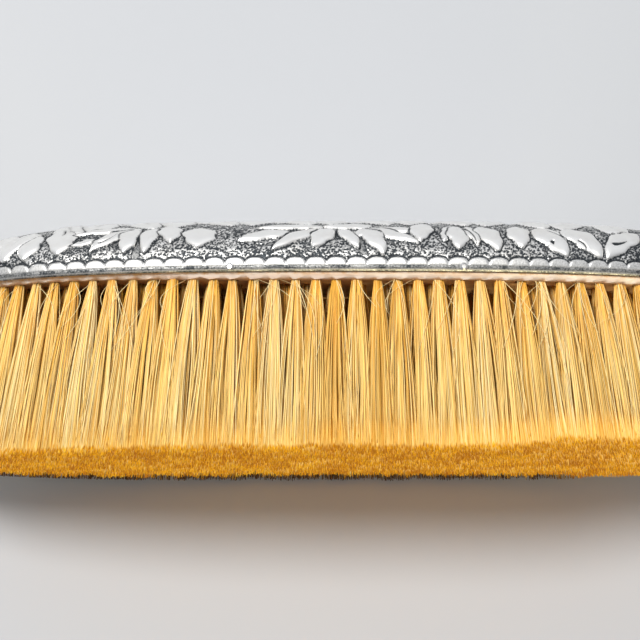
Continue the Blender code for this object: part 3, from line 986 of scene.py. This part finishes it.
def silver_material():
    """Old rubbed silver: bright on the relief, black in its hollows and outlines; on the rim its
    dark is partly painted shade.
    """
    m = Nodes("repousse_silver")
    tarnish, _, punched = m.tone()
    grain = m.noise(2600.0, detail=2.0)
    cloud = m.noise(210.0, detail=4.0)
    cells = m.add("ShaderNodeTexVoronoi", {"Vector": m.place(), "Scale": 2100.0})
    dots = cells.outputs["Distance"]
    struck = m.maths("MULTIPLY", m.spread(dots, 0.56, 0.24), punched)
    struck = m.maths("MULTIPLY", struck, 0.52)
    broken = m.maths("ADD", tarnish, m.spread(grain, 0.3, 0.7, -0.12, 0.12))
    dark = m.spread(m.maths("ADD", broken, struck), 0.30, 0.82)
    film = m.spread(cloud, 0.50, 0.78, 0.0, 0.55)
    rubbed = m.mix(film, SILVER_BRIGHT, SILVER_WARM)
    m.link(m.mix(dark, rubbed, SILVER_TARNISH_AND_SHADE), "Base Color")
    m.set("Metallic", 0.82)
    dull, clouded = m.spread(dark, 0, 1, 0.33, 0.55), m.spread(cloud, 0.3, 0.7, -0.03, 0.06)
    m.link(m.maths("ADD", dull, clouded), "Roughness")
    fine = m.maths("ADD", m.maths("MULTIPLY", grain, 0.5), cloud)
    m.bump(m.maths("SUBTRACT", fine, struck), 0.00006, 0.5)
    return m.material


HAIR_ROOT = (0.98, 0.56, 0.11)
HAIR_BODY = (1.0, 0.715, 0.24)
HAIR_PALE = (1.0, 0.87, 0.50)
HAIR_DEEP = (0.70, 0.35, 0.035)
HAIR_TIP = (1.0, 0.53, 0.004)
HAIR_TIP_PALE = (1.0, 0.70, 0.08)
HAIR_TIP_DARK = (0.46, 0.16, 0.001)
HAIR_LOW_SHADE = (0.05, 0.018, 0.004)


def hair_material():
    """Undyed bristle: gold at the root, paler along its length, deep gold at the cut tip; the deeper
    gold at root and tip is partly painted shade.

    Each strand has its own tint, and the lowest tips are dark with painted shade.
    """
    m = Nodes("golden_bristle")
    along, tint, low = m.tone()
    # Painted shade in part: the gold deepens towards the root, partly the bristle's own colour and
    # partly shade under the stock.
    body = m.mix(m.spread(along, 0.05, 0.55), HAIR_ROOT, HAIR_BODY)
    pale = m.mix(m.spread(tint, 0.45, 1.0, 0.0, 0.9), body, HAIR_PALE)
    varied = m.mix(m.spread(tint, 0.45, 0.0, 0.0, 0.8), pale, HAIR_DEEP)
    # Painted shade in part: the cut tips' deep gold is partly the bristle's own colour and partly
    # the shade of their end face.
    cut = m.mix(m.spread(tint, 0.28, 0.72), HAIR_TIP_DARK, HAIR_TIP)
    cut = m.mix(m.spread(tint, 0.74, 0.95, 0.0, 0.8), cut, HAIR_TIP_PALE)
    # Painted shade: dark flecks over the cut tips stand for the shade in the gaps between them.
    painted_gap_shade = m.noise(1500.0, detail=2.0, stretch=(1, 0.3, 1))
    cut = m.mix(m.spread(painted_gap_shade, 0.44, 0.62, 0.0, 0.62), cut, HAIR_TIP_DARK)
    mottle = m.noise(420.0, detail=2.0, stretch=(1, 0.12, 1))
    streaked = m.mix(m.spread(mottle, 0.3, 0.7, 0.0, 0.16), varied, HAIR_DEEP)
    shown = m.mix(m.spread(along, 0.974, 0.988), streaked, cut)
    # Painted shade: the lowest tips, near the floor, are darkened almost to black.
    painted_low_shade = m.maths("MULTIPLY", low, m.spread(along, 0.950, 0.972))
    m.link(m.mix(painted_low_shade, shown, HAIR_LOW_SHADE), "Base Color")
    m.link(m.spread(mottle, 0.3, 0.7, 0.36, 0.52), "Roughness")
    m.set("Specular IOR Level", 0.14)
    return m.material


def wood_material(name, light, dark, roughness):
    """Straight-grained wood that runs along the brush."""
    m = Nodes(name)
    grain = m.noise(900.0, detail=5.0, stretch=(0.06, 1, 1))
    pores = m.noise(3200.0, detail=2.0, stretch=(0.10, 1, 1))
    figure = m.mix(m.spread(grain, 0.32, 0.68), light, dark)
    m.link(m.mix(m.spread(pores, 0.62, 0.75, 0.0, 0.5), figure, tuple(0.55 * c for c in dark)),
           "Base Color")
    m.link(m.spread(grain, 0.3, 0.7, roughness, roughness + 0.15), "Roughness")
    m.bump(m.maths("ADD", grain, m.maths("MULTIPLY", pores, 0.6)), 0.00012, 0.6)
    return m


STOCK_LIGHT, STOCK_DARK = (0.95, 0.84, 0.75), (0.84, 0.64, 0.51)
STOCK_SIDE_TAN, STOCK_UNDERSIDE_SHADE = (0.72, 0.40, 0.17), (0.55, 0.26, 0.075)


def stock_material():
    """Pale bare wood, tan on its side under the silver's lip, and brown with painted shade round its
    holes underneath and inside them.
    """
    m = wood_material("stock_wood", STOCK_LIGHT, STOCK_DARK, 0.5)
    bare = m.shader.inputs["Base Color"].links[0].from_socket
    # The side above the chamfer, just under the silver's lip, is coloured tan.
    where = m.add("ShaderNodeSeparateXYZ", {"Vector": m.place()}).outputs["Y"]
    ragged = m.maths("ADD", where, m.spread(m.noise(700.0), 0.3, 0.7, -0.00025, 0.00025))
    edge = TIPS_Y + WORN_BOTTOM + STOCK_CHAMFER
    side = m.spread(ragged, edge - 0.0002, edge + 0.0003)
    # Painted shade: brown where the underside and the holes are marked.
    painted_underside_shade = m.spread(m.tone()[0], 0.20, 0.75, 0.0, 0.8)
    m.link(m.mix(painted_underside_shade, m.mix(side, bare, STOCK_SIDE_TAN), STOCK_UNDERSIDE_SHADE), "Base Color")
    return m.material


def pitch_material():
    """Lumpy black pitch."""
    m = Nodes("black_pitch")
    lumps = m.noise(500.0, detail=4.0)
    m.link(m.mix(lumps, (0.020, 0.016, 0.012), (0.06, 0.048, 0.036)), "Base Color")
    m.link(m.spread(lumps, 0.3, 0.7, 0.55, 0.85), "Roughness")
    m.bump(lumps, 0.0003)
    return m.material


def metal_material(name, bright, dull, roughness):
    """Metal gone dull in clouds."""
    m = Nodes(name)
    cloud = m.noise(800.0, detail=4.0)
    m.link(m.mix(m.spread(cloud, 0.35, 0.7), bright, dull), "Base Color")
    m.link(m.spread(cloud, 0.3, 0.7, roughness, roughness + 0.2), "Roughness")
    m.set("Metallic", 1.0)
    m.bump(cloud, 0.00005, 0.5)
    return m.material


def dress_cad_nodes():
    """Better materials for the CAD nodes that stay as they are."""
    pins = metal_material("pin_silver", (0.90, 0.89, 0.87), (0.42, 0.41, 0.40), 0.25)
    brass = metal_material("draw_wire_brass", (0.72, 0.52, 0.22), (0.30, 0.20, 0.09), 0.30)
    core = wood_material("core_wood", (0.48, 0.29, 0.15), (0.30, 0.16, 0.08), 0.6).material
    pitch = pitch_material()
    finishes = {"rim_pin": pins, "draw_wire": brass, "core_board": core, "pitch_fill": pitch}
    for name, node in frame["nodes"].items():
        for start, finish in finishes.items():
            if name.startswith(start):
                for place_in_mesh in node.material_slots:
                    place_in_mesh.material = finish


# ---- stage


CAMERA_LENS = 150.0
CAMERA_AIM = Vector((-0.0058, 0.0007, 2 * HALF_WIDTH))
CAMERA_DISTANCE = 0.575
CAMERA_TILT = math.radians(9.8)
CAMERA_ROLL = math.radians(-0.05)
SKY_COLOUR = (0.92, 0.95, 1.0, 1.0)
SKY_FRONT, SKY_BACK = 0.19, 0.79
FLOOR_REACH = 1.6
FLOOR_DARK, FLOOR_LIGHT = (0.47, 0.485, 0.51), (0.50, 0.512, 0.535)

# Each light: where it comes from, its distance, width, power and colour
KEY = ((-0.28, 0.24, 1.0), 0.9, 0.28, 8.2, (1.0, 0.975, 0.93))
LOW_FRONT = ((0.15, -1.0, 0.042), 4.0, 0.30, 122.0, (1.0, 0.88, 0.50))


def camera():
    """The camera, which looks almost straight down at the near flank."""
    data = bpy.data.cameras.new("camera")
    data.lens = CAMERA_LENS
    made = new_object("camera", data)
    back = Vector((0, -math.sin(CAMERA_TILT), math.cos(CAMERA_TILT)))
    made.location = CAMERA_AIM + back * CAMERA_DISTANCE
    turn = back.to_track_quat("Z", "Y") @ Quaternion((0, 0, 1), CAMERA_ROLL)
    made.rotation_mode = "QUATERNION"
    made.rotation_quaternion = turn
    bpy.context.scene.camera = made


def area_light(name, towards, distance, size, power, colour):
    """A round light that faces the origin, which no camera sees."""
    data = bpy.data.lights.new(name, "AREA")
    data.shape = "DISK"
    data.size = size
    data.energy = power
    data.color = colour
    made = new_object(name, data)
    direction = Vector(towards).normalized()
    made.location = direction * distance
    made.visible_camera = False
    made.rotation_mode = "QUATERNION"
    made.rotation_quaternion = direction.to_track_quat("Z", "Y")


def studio():
    """A pale floor, a sky that is brighter behind, and two lights."""
    mesh = bpy.data.meshes.new("floor")
    sides = ((-1, -1), (1, -1), (1, 1), (-1, 1))
    corners = [(x * FLOOR_REACH, y * FLOOR_REACH, 0) for x, y in sides]
    mesh.from_pydata(corners, [], [(0, 1, 2, 3)])
    floor = new_object("floor", mesh)
    m = Nodes("pale_floor")
    soft = m.noise(5.0, detail=2.0)
    m.link(m.mix(soft, FLOOR_DARK, FLOOR_LIGHT), "Base Color")
    m.set("Roughness", 0.8)
    m.set("Specular IOR Level", 0.0)
    mesh.materials.append(m.material)

    world = bpy.data.worlds.new("studio")
    world.use_nodes = True
    bpy.context.scene.world = world
    tree = world.node_tree
    sky = tree.nodes["Background"]
    sky.inputs["Color"].default_value = SKY_COLOUR
    where = tree.nodes.new("ShaderNodeTexCoord").outputs["Generated"]
    parts = tree.nodes.new("ShaderNodeSeparateXYZ")
    tree.links.new(where, parts.inputs[0])
    towards_back = tree.nodes.new("ShaderNodeMapRange")
    tree.links.new(parts.outputs["Y"], towards_back.inputs[0])
    for number, value in ((1, -0.8), (2, 0.8), (3, SKY_FRONT), (4, SKY_BACK)):
        towards_back.inputs[number].default_value = value
    tree.links.new(towards_back.outputs[0], sky.inputs["Strength"])
    area_light("key", *KEY)
    area_light("low_front", *LOW_FRONT)
    bpy.context.scene.view_settings.view_transform = "Standard"


hair = hair_material()
silver_back()
drilled_stock()
bristle_rows(hair)
stray_hairs(hair)
dress_cad_nodes()
camera()
studio()
